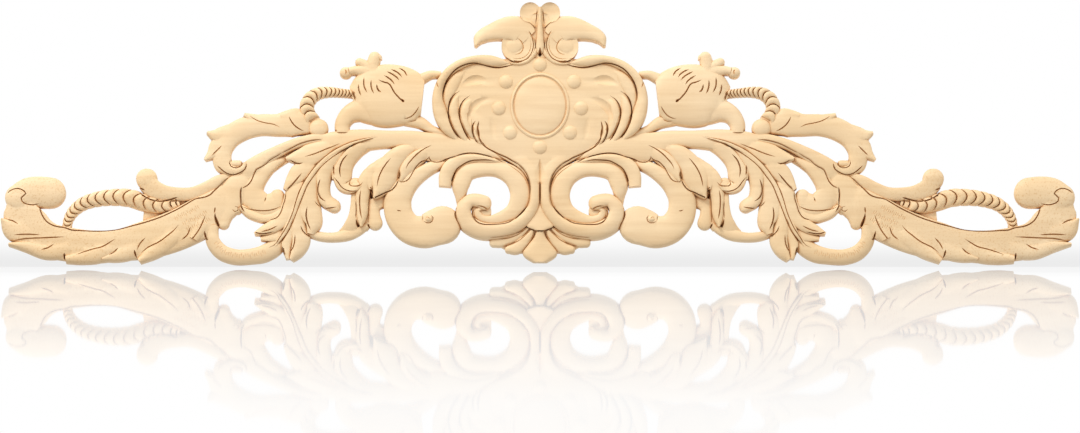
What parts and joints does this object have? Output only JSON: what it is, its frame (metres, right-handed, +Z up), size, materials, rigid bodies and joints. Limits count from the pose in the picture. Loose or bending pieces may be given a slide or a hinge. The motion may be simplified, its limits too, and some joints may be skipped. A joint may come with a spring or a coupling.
{
  "type": "carved wood applique",
  "caption": "Pierced carved wood ornament: a heart-shaped cartouche with oval medallion and beads between two mirrored wings of acanthus leaves, scrolls and flowers.",
  "frame": {"origin": "on the flat back, straight behind the centre of the oval medallion", "axes": "+X along the length to the right as seen from the front, +Y out of the flat back into the surface it is fixed to, +Z up towards the crest; the carving faces -Y"},
  "size_m": [1.0012, 0.0165, 0.2451],
  "materials": {
    "carved_wood": "unfinished pale wood, carved with gouges and left smooth, with fine grain running along the length"
  },
  "bodies": {
    "root": {"applique": "carved_wood"}
  },
  "joints": []
}
